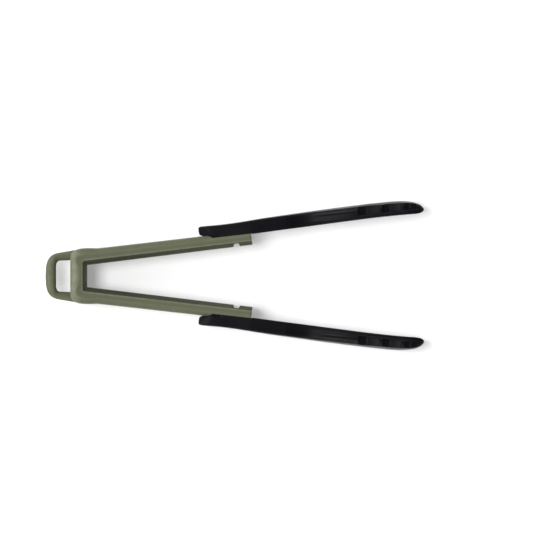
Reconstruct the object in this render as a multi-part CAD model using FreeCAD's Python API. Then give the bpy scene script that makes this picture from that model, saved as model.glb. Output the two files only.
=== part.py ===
import FreeCAD, Part
import math
import os

# Spring loaded kitchen tongs, lying on their side.
# +X runs from the hanging loop at the tail to the jaw tips, +Y is the left arm's side and +Z is up.
# The origin is the middle of the resting face. Millimetres and degrees.
# Each arm turns about an upright pin at a tail corner and is held open by a torsion spring.
# Sizes along X are from the tail end. In an arm's own frame s runs along the arm from its pin,
# t runs outwards from the pin and z is up.

# Overall sizes
overall_length = 290.0    # tail of the loop to the tips of the jaws
body_depth = 30.0         # along Z, the same at the handle and at the jaw heads

# Hinges
pin_x = 37.0
pin_y = 14.9              # half the distance between the two pins
arm_tilt = 6.7            # between each open arm and the middle plane
pin_radius = 1.5
pin_end_gap = 0.4         # from the pin's end to the soft skin
pin_chamfer = 0.25
barrel_wall = 1.65        # the arm core's barrels round the pin
barrel_shoulder = 0.3     # how much wider a barrel is than its neck, on each side
ear_wall = 1.9            # the tail core's ears round the pin
ear_thickness = 2.8
ear_gap = 0.3             # between an ear and the arm's barrel
neck_gap = 0.3            # between the barrel's neck and the tail skin

# Arms
arm_length = 121.6        # from the pin to the handle's front end
arm_outer = 5.8           # from the pin out to the handle's outer side
arm_inner = 5.8           # from the pin in to the handle's inner side
skin_wall = 2.2           # soft skin over the cores
end_wall = 2.0            # skin at the handle's front end
skin_round = 3.5          # outer edges of the handle
lip = 2.8                 # thickness of the inner liner
liner_step = 2.4          # how far the liner lies below the skin's top
liner_start = 4.4
liner_gap = 1.7           # between the tail liner's return and the arm's liner
return_gap = 0.7          # between the barrel and the tail liner's return
notch_start = 106.8       # cross notch in the liner
notch_width = 3.9
notch_depth = 2.5
corner_step = 0.4         # how far the skin's round rear end stands off the outer side
corner_gap = 0.35         # between the tail skin's lobe and the arm skin

# Tail block
block_back = 19.2
block_front = 29.0        # cross wall of the skin and the core
block_shoulder = 28.0     # where the sides stop widening
block_flare = 1.65        # how much they widen
block_bulge = 0.25        # how far the block's sides stand proud of the arms
block_round = 4.2         # edges round the back face
cross_liner = 2.8         # thickness of the inner cross plate

# Hanging loop
loop_depth = 15.0
loop_bar = 8.0            # tail bar, along X
loop_bow = 0.8            # how far the tail bar bows out
loop_bow_half = 8.9       # half width of the bowed stretch
loop_corner = 7.6         # where the outer corner meets the splayed side
loop_turn = 2.85          # X of the outer corner's middle
loop_turn_drop = 2.75     # how far it lies inside the side
loop_splay = 10.2
loop_side_wall = 5.15     # thickness of the side at that corner
loop_hole_corner = 3.7
loop_edge = 2.2           # rounding of the loop's edges
tongue_root = 0.5         # how far a tongue starts inside the loop
tongue_length = 4.6       # the part of each tongue inside the tail core
tongue_width = 3.4
tongue_depth = 9.0

# Springs
wire_radius = 0.6
coil_turns = 5
coil_pitch = 1.3
leg_length = 13.0
leg_gap = 0.1
bush_wall = 0.8
bush_gap = 0.15           # between the bush and the coil
bush_end_gap = 0.1
coil_room = 0.4

# Jaws
jaw_back = 82.7
jaw_thickness = 7.1       # on the handle's outer side
jaw_wrap = 1.4            # how far the jaw laps over the handle's outer edge
jaw_drop = 0.5            # how far the jaw's sides lie below the handle's
jaw_back_round = 10.5
jaw_swell_start = 112.0   # where the outer side starts to swell
jaw_swell = 2.0
swell_shape = [(0.0, 0.0), (0.33, 0.7), (0.61, 1.0), (0.81, 0.85)]    # shares of length and swell
jaw_gap = 0.05            # between the jaw and the skin it lies on
jaw_end_gap = 0.3         # between the jaw and the handle's front end
jaw_root = 2.8            # t of the inner side at the handle, at the head's start and at the tip
jaw_bow = 4.05
jaw_tip = 3.4
jaw_root_length = 5.0     # straight part of the inner side in front of the handle
nose = 6.1                # t of the foremost point
nose_outer = 9.5          # how far back the tip's outer curve starts
nose_outer_drop = 0.2
nose_outer_bulge = (2.8, 3.7)    # its middle, back from the tip and out from the nose
nose_inner = 4.6          # how far back the tip's inner curve starts
nose_inner_bulge = (1.4, 1.0)    # its middle, back from the tip and out from the inner side
neck_length = 27.0        # from the handle's front end to the small step
neck_drop = 1.8           # how far the sides lie below the handle's before and after the step
neck_step = 0.8
neck_step_length = 1.0
waist_drop = 4.4
waist_shape = [(0.3, 1.0), (0.6, 0.6), (0.9, 0.07)]    # shares of length and drop
head_length = 50.4
head_round = 15.4         # length of the rounded end of the head
tip_half_depth = 7.0
tip_corner = (4.5, 0.84)  # middle of the round, back from the tip and as a share of the half depth
valleys = [(50.6, 44.0), (32.4, 26.8), (15.4, 8.2)]    # from and to, back from the tip
valley_depth = 3.0
valley_slope = 1.1
head_lip = 2.4            # inner edge that the valleys leave whole
groove_count = 6
groove_pitch = 6.0
groove_first = 40.0       # back from the tip
groove_radius = 1.6
groove_depth = 0.7
groove_half_length = 10.0

# Fasteners
jaw_screw_places = [92.0, 113.0]
jaw_screw_radius = 1.5
jaw_screw_head = 2.75
jaw_screw_head_height = 2.0
jaw_screw_reach = 5.2     # thread inside the jaw
tail_screw_spacing = 12.0
tail_screw_radius = 1.25
tail_screw_head = 2.5
tail_screw_head_height = 1.5
tail_screw_length = 8.2
head_sink = 0.2           # how far a screw head lies below its plate's face
recess_half_width = 0.4   # cross recess in the heads
recess_reach = 0.6        # share of the head's radius
recess_depth = 0.8

# Fits
running_fit = 0.05        # radial, pin in the barrels
press_fit = 0.01          # radial, pin in the ears and screws in their threads
screw_room = 0.1          # radial, screw shanks and heads in their holes
tongue_room = 0.05

# Worked out from the sizes above
far = 400.0                               # past every piece
over = 1.0                                # how far a cutter runs past a face
middle = body_depth / 2
inner_low = skin_wall
inner_high = body_depth - skin_wall
tilt_cos = math.cos(math.radians(arm_tilt))
tilt_sin = math.sin(math.radians(arm_tilt))
skin_inner = lip - arm_inner              # t of the skin's inner edge
core_outer = arm_outer - skin_wall        # t of the core's outer side
corner_radius = arm_outer + corner_step
block_half = pin_y + arm_outer + block_bulge
block_back_half = block_half - block_flare
barrel_radius = pin_radius + running_fit + barrel_wall
ear_radius = pin_radius + ear_wall
neck_half = barrel_radius - barrel_shoulder
barrel_low = inner_low + ear_thickness + ear_gap
barrel_high = inner_high - ear_thickness - ear_gap
bush_radius = pin_radius + running_fit + bush_wall
coil_radius = bush_radius + bush_gap + wire_radius
coil_height = coil_turns * coil_pitch
coil_low = middle - coil_height / 2
coil_high = middle + coil_height / 2
cavity_low = coil_low - wire_radius - coil_room
cavity_high = coil_high + wire_radius + coil_room
jaw_outer = arm_outer + jaw_thickness
tip = (overall_length - pin_x + nose * tilt_sin) / tilt_cos
head_start = tip - head_length


def point(x, y, z=0.0):
    return FreeCAD.Vector(x, y, z)


def box(x, y, z):
    """A block between the pairs x, y and z."""
    size = [pair[1] - pair[0] for pair in (x, y, z)]
    return Part.makeBox(size[0], size[1], size[2], point(x[0], y[0], z[0]))


def rod(x, y, z, radius):
    """An upright cylinder over the pair z."""
    return Part.makeCylinder(radius, z[1] - z[0], point(x, y, z[0]))


def cross_rod(s, z, t, radius):
    """A cylinder along t over the pair t."""
    return Part.makeCylinder(radius, t[1] - t[0], point(s, t[0], z), point(0, 1, 0))


def long_rod(x, y, z, radius):
    """A cylinder along X over the pair x."""
    return Part.makeCylinder(radius, x[1] - x[0], point(x[0], y, z), point(1, 0, 0))


def prism(outline, z):
    """An outline in plan, carried up over the pair z."""
    corners = [point(x, y, z[0]) for x, y in outline]
    wire = Part.makePolygon(corners + corners[:1])
    return Part.Face(wire).extrude(point(0, 0, z[1] - z[0]))


def both_sides(outline):
    """An outline given for +Y, closed by its mirror image."""
    return outline + [(x, -y) for x, y in reversed(outline)]


def arc(first, middle_point, last):
    return Part.Arc(point(*first), point(*middle_point), point(*last)).toShape()


def line(first, last):
    return Part.LineSegment(point(*first), point(*last)).toShape()


def on_arm(shape):
    """From the arm's frame to its open place on the left pin, still measured from the tail end."""
    placed = shape.copy()
    placed.rotate(point(0, 0), point(0, 0, 1), arm_tilt)
    placed.translate(point(pin_x, pin_y))
    return placed


def arm_place(s, t):
    """The plan position of a point of the left arm's frame."""
    return (pin_x + s * tilt_cos - t * tilt_sin, pin_y + s * tilt_sin + t * tilt_cos)


def mirrored(shape):
    return shape.mirror(point(0, 0), point(0, 1, 0))


def line_at(x, t):
    """Y where the left arm's line of constant t crosses x."""
    return pin_y + (t + (x - pin_x) * tilt_sin) / tilt_cos


# ---- Tail ----

def loop_side(x):
    """Outer half width of the loop's splayed side, which meets the block's back corner."""
    return block_back_half + (x - block_back) * math.tan(math.radians(loop_splay))


def make_hanging_loop():
    corner = (loop_corner, loop_side(loop_corner))
    end = (block_back, loop_side(block_back))
    flat = (loop_bow, loop_bow_half)
    turn = (loop_turn, corner[1] - loop_turn_drop)
    right = [(x, -y) for x, y in (flat, turn, corner, end)]
    edges = [
        line(end, corner),
        arc(corner, turn, flat),
        arc(flat, (0.0, 0.0), right[0]),
        arc(right[0], right[1], right[2]),
        line(right[2], right[3]),
        line(right[3], end),
    ]
    frame = Part.Face(Part.Wire(edges)).extrude(point(0, 0, loop_depth))
    half = corner[1] - loop_side_wall
    hole = box((loop_bar, far), (-half, half), (-over, loop_depth + over))
    corners = [edge for edge in hole.Edges if upright(edge) and edge.BoundBox.XMin < far / 2]
    frame = frame.cut(hole.makeFillet(loop_hole_corner, corners))
    rims = [edge for edge in frame.Edges if flat_edge(edge) and edge.BoundBox.XMin < block_back - over]
    frame = frame.makeFillet(loop_edge, rims)
    frame.translate(point(0, 0, middle - loop_depth / 2))
    return frame.fuse(loop_tongues(0.0)).removeSplitter()


def upright(edge):
    bounds = edge.BoundBox
    return bounds.ZLength > bounds.XLength + bounds.YLength


def flat_edge(edge):
    return edge.BoundBox.ZLength < 0.001


def loop_tongues(room):
    """The two ends of the loop that sit in the tail core."""
    inside = block_back_half - skin_wall - tongue_width
    y = (inside - room, inside + tongue_width + room)
    z = (middle - tongue_depth / 2 - room, middle + tongue_depth / 2 + room)
    x = (block_back - tongue_root, block_back + skin_wall + tongue_length + room)
    left = box(x, y, z)
    return left.fuse(mirrored(left))


def core_outline(front):
    """The tail core in plan, from its back to this front: the block's outline less the skin."""
    back = block_back + skin_wall
    slope = block_flare / (block_shoulder - block_back)
    back_half = block_back_half + (slope - 1) * skin_wall
    half = block_half - skin_wall
    return both_sides([(back, back_half), (block_shoulder, half), (front, half)])


def make_tail_core():
    core = prism(core_outline(block_front), (inner_low, inner_high))
    for low in (inner_low, inner_high - ear_thickness):
        z = (low, low + ear_thickness)
        ear = box((block_front - over, pin_x), (pin_y - ear_radius, pin_y + ear_radius), z)
        ear = ear.fuse(rod(pin_x, pin_y, z, ear_radius))
        core = core.fuse(ear).fuse(mirrored(ear))
    slot = on_arm(leg_box(-leg_length, coil_low))
    bore = rod(pin_x, pin_y, (0, body_depth), pin_radius + press_fit)
    for cutter in (slot, bore):
        core = core.cut(cutter).cut(mirrored(cutter))
    core = core.cut(loop_tongues(tongue_room))
    return core.cut(tail_screw_shanks(press_fit)).removeSplitter()


def make_tail_skin():
    left_edge = [
        (block_back, block_back_half),
        (block_shoulder, block_half),
        (pin_x, block_half),
        (pin_x, line_at(pin_x, skin_inner)),
        (block_front, line_at(block_front, skin_inner)),
    ]
    z = (0, body_depth)
    skin = prism(both_sides(left_edge), z)
    skin = skin.makeFillet(block_round, back_edges(skin))
    lobe = rod(pin_x, pin_y, z, corner_radius - corner_gap)
    lobe = lobe.common(on_arm(box((-over, far), (skin_inner, far), (-over, far))))
    skin = skin.fuse(lobe).fuse(mirrored(lobe))
    skin = skin.cut(prism(core_outline(far), (inner_low, inner_high)))
    for cutter in (on_arm(coil_pocket()), on_arm(hinge_neck(neck_gap))):
        skin = skin.cut(cutter).cut(mirrored(cutter))
    return skin.cut(loop_tongues(0.0)).removeSplitter()


def back_edges(shape):
    """The edges round the back face of the tail block."""
    return [edge for edge in shape.Edges if edge.BoundBox.XMax < block_back + 0.01]


def make_tail_liner():
    front = block_front + cross_liner
    outside = -barrel_radius - return_gap
    inside = -arm_inner
    end = liner_start - liner_gap
    left = [
        (block_front, line_at(block_front, outside)),
        arm_place(end, outside),
        arm_place(end, inside),
        (front, line_at(front, inside)),
    ]
    z = (liner_step, body_depth - liner_step)
    liner = prism(both_sides(left), z)
    return liner.cut(tail_screw_shanks(screw_room)).cut(tail_screw_heads(screw_room))


def tail_screw_levels():
    return (middle - tail_screw_spacing / 2, middle + tail_screw_spacing / 2)


def tail_screw_front():
    return block_front + cross_liner - head_sink


def tail_screw_shanks(room):
    x = (tail_screw_front() - tail_screw_length - room, tail_screw_front())
    shanks = [long_rod(x, 0, z, tail_screw_radius + room) for z in tail_screw_levels()]
    return shanks[0].fuse(shanks[1])


def tail_screw_heads(room):
    back = tail_screw_front() - tail_screw_head_height - room
    x = (back, far if room else tail_screw_front())
    heads = [long_rod(x, 0, z, tail_screw_head + room) for z in tail_screw_levels()]
    return heads[0].fuse(heads[1])


def make_tail_screws():
    screws = []
    for z in tail_screw_levels():
        front = tail_screw_front()
        shank = long_rod((front - tail_screw_length, front), 0, z, tail_screw_radius)
        head = long_rod((front - tail_screw_head_height, front), 0, z, tail_screw_head)
        screw = shank.fuse(head)
        screws.append(screw.cut(tail_recess(front, z)))
    return Part.makeCompound(screws)


def tail_recess(front, z):
    """A cross recess in a screw head that faces +X."""
    deep = (front - recess_depth, front + over)
    reach = recess_reach * tail_screw_head
    thin = recess_half_width
    wide = box(deep, (-reach, reach), (z - thin, z + thin))
    return wide.fuse(box(deep, (-thin, thin), (z - reach, z + reach)))


# ---- Hinge pieces, on the left pin ----

def make_hinge_pin():
    z = (skin_wall + pin_end_gap, body_depth - skin_wall - pin_end_gap)
    pin = rod(pin_x, pin_y, z, pin_radius)
    rims = [edge for edge in pin.Edges if flat_edge(edge)]
    return pin.makeChamfer(pin_chamfer, rims)


def make_spring_bush():
    z = (cavity_low + bush_end_gap, cavity_high - bush_end_gap)
    bush = rod(pin_x, pin_y, z, bush_radius)
    return bush.cut(rod(pin_x, pin_y, z, pin_radius + running_fit))


def make_torsion_spring():
    """Close wound coil with a straight leg at each end, in the arm's frame and then placed."""
    coil = Part.makeHelix(coil_pitch, coil_height, coil_radius)
    coil.rotate(point(0, 0), point(0, 0, 1), -90)
    coil.translate(point(0, 0, coil_low))
    tail_end = (-leg_length, -coil_radius, coil_low)
    tail_leg = line(tail_end, (0, -coil_radius, coil_low))
    arm_leg = line((0, -coil_radius, coil_high), (leg_length, -coil_radius, coil_high))
    path = Part.Wire([tail_leg] + coil.Edges + [arm_leg])
    section = Part.Wire(Part.makeCircle(wire_radius, point(*tail_end), point(1, 0, 0)))
    return on_arm(path.makePipeShell([section], True, True))


def leg_box(end, level):
    """Room for a spring leg that runs from the pin to s = end at this level."""
    room = wire_radius + leg_gap
    s = (min(0, end) - leg_gap, max(0, end) + leg_gap)
    return box(s, (-coil_radius - room, -coil_radius + room), (level - room, level + room))


# ---- Arm pieces, in the arm's frame ----

def corner_cut():
    return rod(0, 0, (-over, body_depth + over), corner_radius)


def coil_pocket():
    return rod(0, 0, (cavity_low, cavity_high), coil_radius + wire_radius + coil_room)


def hinge_neck(room):
    """The barrels round the pin and the neck that joins them to the arm core."""
    z = (barrel_low - room, barrel_high + room)
    neck = box((0, corner_radius + over), (-neck_half - room, neck_half + room), z)
    return neck.fuse(rod(0, 0, z, barrel_radius + room))


def core_room():
    s = (-over, arm_length - end_wall)
    return box(s, (skin_inner, core_outer), (inner_low, inner_high))


def skin_envelope(room):
    """The handle's outer form: a bar whose two outer edges are rounded."""
    t = (skin_inner, arm_outer + room)
    bar = box((-over, arm_length + room), t, (-room, body_depth + room))
    along = [edge for edge in bar.Edges if edge.BoundBox.XLength > far / 10]
    outer = [edge for edge in along if edge.BoundBox.YMin > 0]
    return bar.makeFillet(skin_round, outer)


def make_arm_skin():
    skin = skin_envelope(0.0).cut(corner_cut()).cut(core_room())
    return skin.cut(jaw_screw_shanks(screw_room)).removeSplitter()


def make_arm_core():
    core = core_room().cut(corner_cut()).fuse(hinge_neck(0.0))
    bore = rod(0, 0, (barrel_low, barrel_high), pin_radius + running_fit)
    core = core.cut(coil_pocket()).cut(bore).cut(leg_box(leg_length, coil_high))
    core = core.cut(jaw_screw_shanks(screw_room)).cut(jaw_screw_heads(screw_room))
    return core.removeSplitter()


def make_arm_liner():
    t = (-arm_inner, -arm_inner + lip)
    z = (liner_step, body_depth - liner_step)
    liner = box((liner_start, arm_length), t, z)
    s = (notch_start, notch_start + notch_width)
    notch = box(s, (t[0] - over, t[0] + notch_depth), (-over, body_depth + over))
    return liner.cut(notch).cut(leg_box(leg_length, coil_high)).cut(hinge_neck(0.0))


def jaw_screw_base():
    return skin_inner + head_sink


def jaw_screw_shanks(room):
    t = (jaw_screw_base(), arm_outer + jaw_screw_reach + room)
    shanks = [cross_rod(s, middle, t, jaw_screw_radius + room) for s in jaw_screw_places]
    return shanks[0].fuse(shanks[1])


def jaw_screw_heads(room):
    base = jaw_screw_base()
    t = (base - over if room else base, base + jaw_screw_head_height + room)
    heads = [cross_rod(s, middle, t, jaw_screw_head + room) for s in jaw_screw_places]
    return heads[0].fuse(heads[1])


def make_jaw_screws():
    screws = []
    base = jaw_screw_base()
    for s in jaw_screw_places:
        t = (base, arm_outer + jaw_screw_reach)
        shank = cross_rod(s, middle, t, jaw_screw_radius)
        head = cross_rod(s, middle, (base, base + jaw_screw_head_height), jaw_screw_head)
        deep = (base - over, base + recess_depth)
        reach = recess_reach * jaw_screw_head
        thin = recess_half_width
        wide = box((s - reach, s + reach), deep, (middle - thin, middle + thin))
        tall = box((s - thin, s + thin), deep, (middle - reach, middle + reach))
        screws.append(shank.fuse(head).cut(wide).cut(tall))
    return Part.makeCompound(screws)


def jaw_plan():
    """The jaw seen from above: straight on the handle, then gently bowed inwards to a rounded tip."""
    length = tip - jaw_swell_start
    shoulder = (tip - nose_outer, jaw_outer - nose_outer_drop)
    swell = [(jaw_swell_start + a * length, jaw_outer + b * jaw_swell) for a, b in swell_shape]
    outer = Part.BSplineCurve()
    outer.interpolate([point(*place) for place in swell + [shoulder]])
    outer_bulge = (tip - nose_outer_bulge[0], nose + nose_outer_bulge[1])
    inner_bulge = (tip - nose_inner_bulge[0], jaw_tip + nose_inner_bulge[1])
    inner_tip = (tip - nose_inner, jaw_tip)
    front = arm_length + jaw_end_gap
    inner_root = (front + jaw_root_length, jaw_root)
    wrap = arm_outer - jaw_wrap
    edges = [
        line((jaw_back, wrap), (jaw_back, jaw_outer)),
        line((jaw_back, jaw_outer), (jaw_swell_start, jaw_outer)),
        outer.toShape(),
        arc(shoulder, outer_bulge, (tip, nose)),
        arc((tip, nose), inner_bulge, inner_tip),
        arc(inner_tip, (head_start, jaw_bow), inner_root),
        line(inner_root, (front, jaw_root)),
        line((front, jaw_root), (front, wrap)),
        line((front, wrap), (jaw_back, wrap)),
    ]
    return Part.Face(Part.Wire(edges)).extrude(point(0, 0, body_depth))


def jaw_side():
    """The jaw seen from its outer side: a rounded back end, a small step, a waist and a wide head."""
    half = middle - jaw_drop
    corner = half - jaw_back_round
    bend = jaw_back_round * math.sqrt(0.5)
    back = jaw_back + jaw_back_round
    step = arm_length + neck_length
    before = (step, middle - neck_drop)
    after = (step + neck_step_length, middle - neck_drop - neck_step)
    length = head_start - step
    waist = [(step + a * length, middle - b * waist_drop) for a, b in waist_shape]
    flare = Part.BSplineCurve()
    flare.interpolate([point(*place) for place in [after] + waist])
    head_end = tip - head_round
    turn = (tip - tip_corner[0], tip_corner[1] * middle)
    top = [
        arc((jaw_back, corner), (back - bend, corner + bend), (back, half)),
        line((back, half), (arm_length, half)),
        line((arm_length, half), before),
        line(before, after),
        flare.toShape(),
        line(waist[-1], (head_start, middle)),
        line((head_start, middle), (head_end, middle)),
        arc((head_end, middle), turn, (tip, tip_half_depth)),
    ]
    bottom = [edge.mirror(point(0, 0), point(0, 1, 0)) for edge in top]
    ends = [
        line((tip, tip_half_depth), (tip, -tip_half_depth)),
        line((jaw_back, -corner), (jaw_back, corner)),
    ]
    wire = Part.Wire(Part.__sortEdges__(top + bottom + ends))
    side = Part.Face(wire).extrude(point(0, 0, -far))
    side.rotate(point(0, 0), point(1, 0, 0), 90)
    side.translate(point(0, 0, middle))
    return side


def make_jaw():
    jaw = jaw_plan().common(jaw_side())
    jaw = jaw.cut(skin_envelope(jaw_gap))
    jaw = jaw.cut(jaw_screw_shanks(press_fit))
    for start, end in valleys:
        jaw = jaw.cut(valley(tip - start, tip - end))
    for n in range(groove_count):
        s = tip - groove_first + n * groove_pitch
        z = (middle - groove_half_length, middle + groove_half_length)
        jaw = jaw.cut(rod(s, jaw_bow - groove_radius + groove_depth, z, groove_radius))
    return jaw


def valley(start, end):
    """A scallop in both side edges of the head, with sloping ends, clear of the inner lip."""
    floor = middle - valley_depth
    above = middle + valley_depth
    cut = []
    for side in (1, -1):
        corners = [
            (start - valley_slope, side * above),
            (start + valley_slope, side * floor),
            (end - valley_slope, side * floor),
            (end + valley_slope, side * above),
        ]
        outline = [point(s, jaw_bow + head_lip, middle + z) for s, z in corners]
        wire = Part.makePolygon(outline + outline[:1])
        cut.append(Part.Face(wire).extrude(point(0, far, 0)))
    return cut[0].fuse(cut[1])


# ---- Assembly ----

tail_nodes = {
    "hanging_loop": make_hanging_loop(),
    "tail_core": make_tail_core(),
    "tail_skin": make_tail_skin(),
    "tail_liner": make_tail_liner(),
    "tail_screws": make_tail_screws(),
}
hinge_nodes = {
    "hinge_pin": make_hinge_pin(),
    "spring_bush": make_spring_bush(),
    "torsion_spring": make_torsion_spring(),
}
arm_nodes = {
    "arm_core": on_arm(make_arm_core()),
    "arm_skin": on_arm(make_arm_skin()),
    "arm_liner": on_arm(make_arm_liner()),
    "jaw": on_arm(make_jaw()),
    "jaw_screws": on_arm(make_jaw_screws()),
}

nodes = dict(tail_nodes)
for name, shape in {**hinge_nodes, **arm_nodes}.items():
    nodes["left_" + name] = shape
    nodes["right_" + name] = mirrored(shape)

os.makedirs("parts", exist_ok=True)
for name, shape in nodes.items():
    shape.translate(point(-overall_length / 2, 0))
    shape.exportStep("parts/" + name + ".step")
    print(name, len(shape.Solids), round(shape.Volume, 1), shape.isValid())
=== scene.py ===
import bpy
import bmesh
import math
import numpy as np
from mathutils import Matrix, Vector


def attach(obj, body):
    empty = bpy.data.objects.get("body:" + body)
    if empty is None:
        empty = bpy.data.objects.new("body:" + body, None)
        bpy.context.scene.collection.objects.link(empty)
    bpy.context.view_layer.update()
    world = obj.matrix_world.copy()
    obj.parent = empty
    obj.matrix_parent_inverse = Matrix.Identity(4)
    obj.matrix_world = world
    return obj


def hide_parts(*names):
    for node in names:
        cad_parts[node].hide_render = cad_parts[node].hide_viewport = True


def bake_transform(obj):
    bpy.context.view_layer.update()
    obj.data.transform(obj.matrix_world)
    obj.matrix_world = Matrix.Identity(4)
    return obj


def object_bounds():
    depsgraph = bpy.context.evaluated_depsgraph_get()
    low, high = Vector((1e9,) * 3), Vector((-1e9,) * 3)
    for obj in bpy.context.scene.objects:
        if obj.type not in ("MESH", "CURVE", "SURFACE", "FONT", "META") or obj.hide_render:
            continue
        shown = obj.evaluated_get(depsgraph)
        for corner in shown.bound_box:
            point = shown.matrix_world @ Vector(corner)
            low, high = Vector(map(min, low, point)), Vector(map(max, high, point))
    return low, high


# Spring loaded kitchen tongs lying on their side: +X from the hanging loop to the jaw tips, +Z up.
# Shapes are worked out in millimetres from the tail end, and go into the meshes in metres.

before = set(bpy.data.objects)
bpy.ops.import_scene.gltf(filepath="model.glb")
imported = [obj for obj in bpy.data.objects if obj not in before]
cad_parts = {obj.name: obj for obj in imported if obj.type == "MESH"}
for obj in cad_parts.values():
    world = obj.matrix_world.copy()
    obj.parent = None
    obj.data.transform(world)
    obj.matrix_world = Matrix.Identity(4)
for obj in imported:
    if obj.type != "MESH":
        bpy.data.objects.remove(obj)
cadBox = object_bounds()
tailEnd = cadBox[0].x * 1000
depth = cadBox[1].z * 1000
middle = depth / 2
print("frame loaded:", len(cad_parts), "nodes")


def curveThrough(x, knots):
    # cubic between the knots; the slope at each knot is the slope between its two neighbours
    kx, ky = np.array(knots, float).T
    slope = np.gradient(ky, kx)
    i = np.clip(np.searchsorted(kx, x) - 1, 0, len(kx) - 2)
    step = kx[i + 1] - kx[i]
    f = np.clip((x - kx[i]) / step, 0, 1)
    rise = (2 * f**3 - 3 * f**2 + 1) * ky[i] + (3 * f**2 - 2 * f**3) * ky[i + 1]
    return rise + step * ((f**3 - 2 * f**2 + f) * slope[i] + (f**3 - f**2) * slope[i + 1])


def ramp(x, low, high):
    # 0 below low, 1 above high, and a smooth rise between them
    f = np.clip((x - low) / (high - low), 0, 1)
    return f * f * (3 - 2 * f)


def quarter(count):
    # angles from 0 to 90 degrees
    return np.linspace(0, math.pi / 2, count)


# metres: points this close become one, and edges this short go
weld = {"points": 2e-6, "edges": 1e-7}


def gridMesh(name, place, wearAndHighlight, side=1, sharp=30):
    # place[i, j] is step j round the section at station i; each four neighbours make one quad,
    # the section closes on itself, and the first and last stations are closed with one face each
    rows, around = place.shape[:2]
    place = place * np.array([1, side, 1])
    place = (place + np.array([tailEnd, 0, 0])) / 1000
    i, j = np.meshgrid(np.arange(rows - 1), np.arange(around), indexing="ij")
    k = (j + 1) % around
    quads = np.stack([i * around + j, i * around + k, (i + 1) * around + k, (i + 1) * around + j], -1)
    faces = quads.reshape(-1, 4).tolist()
    faces.append(list(range(around - 1, -1, -1)))
    faces.append(list(range((rows - 1) * around, rows * around)))
    mesh = bpy.data.meshes.new(name)
    mesh.from_pydata(place.reshape(-1, 3).tolist(), [], faces)
    # where each point is painted paler: part wear, part painted highlight on edges and slopes that catch
    # the light
    wornAndLit = mesh.attributes.new("wearAndHighlight", "FLOAT", "POINT")
    wornAndLit.data.foreach_set("value", np.broadcast_to(wearAndHighlight, (rows, around)).astype(np.float32).ravel())
    shell = bmesh.new()
    shell.from_mesh(mesh)
    bmesh.ops.remove_doubles(shell, verts=shell.verts, dist=weld["points"])
    bmesh.ops.dissolve_degenerate(shell, edges=shell.edges, dist=weld["edges"])
    bmesh.ops.recalc_face_normals(shell, faces=shell.faces)
    shell.to_mesh(mesh)
    shell.free()
    mesh.shade_smooth()
    mesh.set_sharp_from_angle(angle=math.radians(sharp))
    piece = bpy.data.objects.new(name, mesh)
    bpy.context.scene.collection.objects.link(piece)
    return piece


# the hinge pin's place, its station and how many degrees the open arm is turned outwards
hinge = {"x": 37.0, "y": 14.9, "station": 26, "tilt": 6.7}


def onArm(s, t):
    # s along the open left arm from its pin and t outwards, turned by the tilt and set on the pin
    a = math.radians(hinge["tilt"])
    x = hinge["x"] + s * math.cos(a) - t * math.sin(a)
    y = hinge["y"] + s * math.sin(a) + t * math.cos(a)
    return x, y


def armKey(station, t):
    # stations run on along the arm from the pin's own station
    return (station, *onArm(station - hinge["station"], t))


def rail(p, keys, reach, samples=17):
    # straight between the keys and mirrored at the middle plane, then averaged over a reach
    # on both sides of each station, which rounds the corners
    left = np.array(keys, float)
    right = left[:0:-1] * np.array([-1, 1, -1])
    both = np.vstack([right, left])
    where = p[:, None] + np.linspace(-reach, reach, samples)[None, :]
    x = np.interp(where, both[:, 0], both[:, 1]).mean(1)
    y = np.interp(where, both[:, 0], both[:, 2]).mean(1)
    return np.stack([x, y], -1)


def newMaterial(name):
    material = bpy.data.materials.new(name)
    material.use_nodes = True
    tree = material.node_tree
    tree.nodes.clear()
    out = tree.nodes.new("ShaderNodeOutputMaterial")
    shader = tree.nodes.new("ShaderNodeBsdfPrincipled")
    tree.links.new(shader.outputs["BSDF"], out.inputs["Surface"])
    coords = tree.nodes.new("ShaderNodeTexCoord")
    return material, tree, shader, coords.outputs["Object"]


def noise(tree, coords, scale, detail=3.0, roughness=0.5, stretch=(1, 1, 1)):
    mapping = tree.nodes.new("ShaderNodeMapping")
    mapping.inputs["Scale"].default_value = stretch
    tree.links.new(coords, mapping.inputs["Vector"])
    texture = tree.nodes.new("ShaderNodeTexNoise")
    texture.inputs["Scale"].default_value = scale
    texture.inputs["Detail"].default_value = detail
    texture.inputs["Roughness"].default_value = roughness
    tree.links.new(mapping.outputs["Vector"], texture.inputs["Vector"])
    return texture.outputs["Fac"]


def spread(tree, value, low, high, fromLow=0.3, fromHigh=0.7):
    node = tree.nodes.new("ShaderNodeMapRange")
    node.inputs["From Min"].default_value = fromLow
    node.inputs["From Max"].default_value = fromHigh
    node.inputs["To Min"].default_value = low
    node.inputs["To Max"].default_value = high
    tree.links.new(value, node.inputs["Value"])
    return node.outputs["Result"]


def mixColours(tree, factor, first, second):
    node = tree.nodes.new("ShaderNodeMix")
    node.data_type = "RGBA"
    tree.links.new(factor, node.inputs["Factor"])
    for socket, colour in (("A", first), ("B", second)):
        target = [s for s in node.inputs if s.name == socket and s.type == "RGBA"][0]
        if isinstance(colour, tuple):
            target.default_value = (*colour, 1)
        else:
            tree.links.new(colour, target)
    return [s for s in node.outputs if s.type == "RGBA"][0]


def bump(tree, height, strength, distance, before=None):
    node = tree.nodes.new("ShaderNodeBump")
    node.inputs["Strength"].default_value = strength
    node.inputs["Distance"].default_value = distance
    tree.links.new(height, node.inputs["Height"])
    if before is not None:
        tree.links.new(before, node.inputs["Normal"])
    return node.outputs["Normal"]


# shared by all moulded finishes; the rises are in metres
moulding = {
    "waveScale": 45.0, "grainRise": 0.00006, "waveRise": 0.0004, "leastPale": 0.35, "sheenRough": 0.5,
}
# and by the drawn ones
drawing = {"stainScale": 160.0, "stainShare": 0.25, "lineBump": 0.25, "lineRise": 0.00003}


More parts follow.
